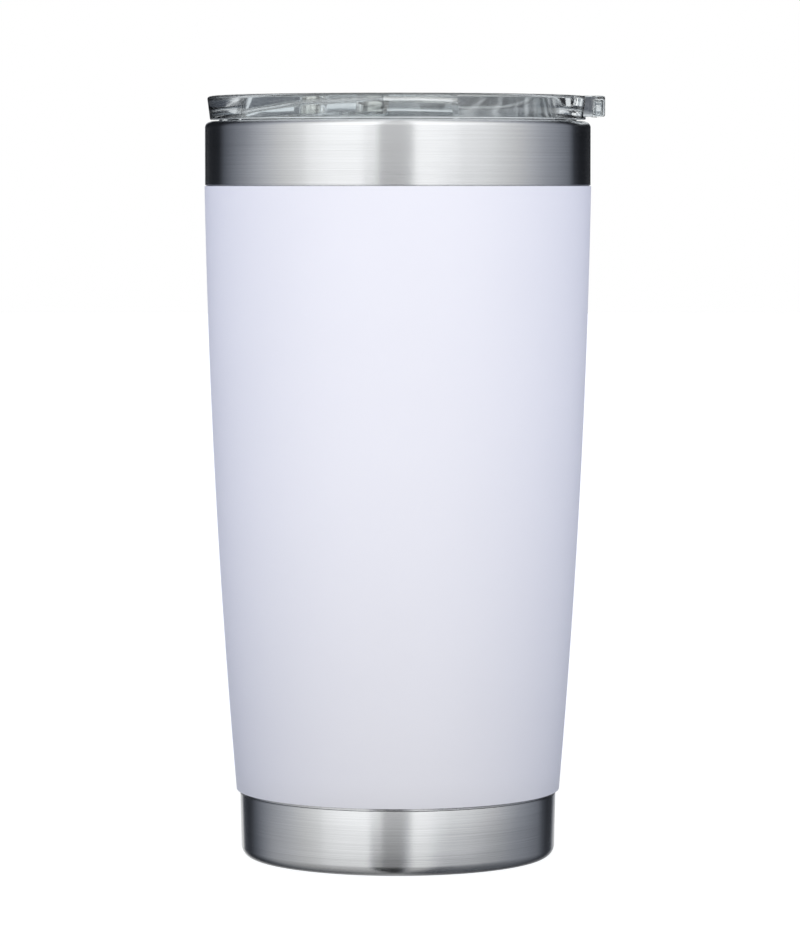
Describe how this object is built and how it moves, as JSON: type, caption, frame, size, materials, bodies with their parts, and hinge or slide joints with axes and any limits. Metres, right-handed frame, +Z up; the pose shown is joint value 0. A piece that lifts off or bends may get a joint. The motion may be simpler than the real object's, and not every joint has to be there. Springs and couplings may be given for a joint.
{
  "type": "insulated tumbler",
  "caption": "Tapered double-wall steel tumbler in white powder coat with bare steel bands and a clear press-in lid whose magnetic slider covers the sip opening.",
  "frame": {"origin": "on the cup's axis at the level of its foot, under the middle of the cover disc", "axes": "+Z up along the cup's axis; +X towards the lid's lift tab, so the sip opening is on the -X side"},
  "size_m": [0.0921, 0.0892, 0.1758],
  "materials": {
    "brushed_steel": "bare stainless steel, brushed round the axis",
    "liner_steel": "satin, electropolished stainless steel",
    "white_powder_coat": "cool white powder coat with a fine satin texture",
    "seal_glass": "fused bead, dark green-grey",
    "copper_foil": "bright copper foil",
    "getter_alloy": "matt pressed powder",
    "clear_plastic": "clear moulded copolyester, polished",
    "clear_silicone": "frosted clear silicone",
    "nickel_plate": "nickel-plated magnets"
  },
  "bodies": {
    "cup": {"outer_wall": "brushed_steel", "powder_coat": "white_powder_coat", "base_cup": "brushed_steel", "base_disc": "brushed_steel", "vacuum_seal": "seal_glass", "liner_wall": "liner_steel", "liner_bottom": "liner_steel", "copper_shield": "copper_foil", "copper_disc": "copper_foil", "getter_pellet": "getter_alloy", "getter_strap": "liner_steel"},
    "gasket": {"lid_gasket": "clear_silicone"},
    "lid": {"lid_body": "clear_plastic", "lid_magnet_cover": "clear_plastic", "lid_magnet_front": "nickel_plate", "lid_magnet_middle": "nickel_plate", "lid_magnet_rear": "nickel_plate"},
    "slider": {"slider_plate": "clear_plastic", "slider_shell": "clear_plastic", "slider_seal": "clear_silicone", "slider_magnet_front": "nickel_plate", "slider_magnet_rear": "nickel_plate"}
  },
  "joints": [
    {"name": "lid_lift", "type": "slide", "parent": "cup", "child": "gasket", "axis": [0, 0, 1], "range_m": [0, 0.04]},
    {"name": "lid_turn", "type": "hinge", "parent": "gasket", "child": "lid", "pos_m": [0, 0, 0.165], "axis": [0, 0, 1], "continuous": true},
    {"name": "slider_slide", "type": "slide", "parent": "lid", "child": "slider", "axis": [1, 0, 0], "range_m": [0, 0.014]}
  ]
}
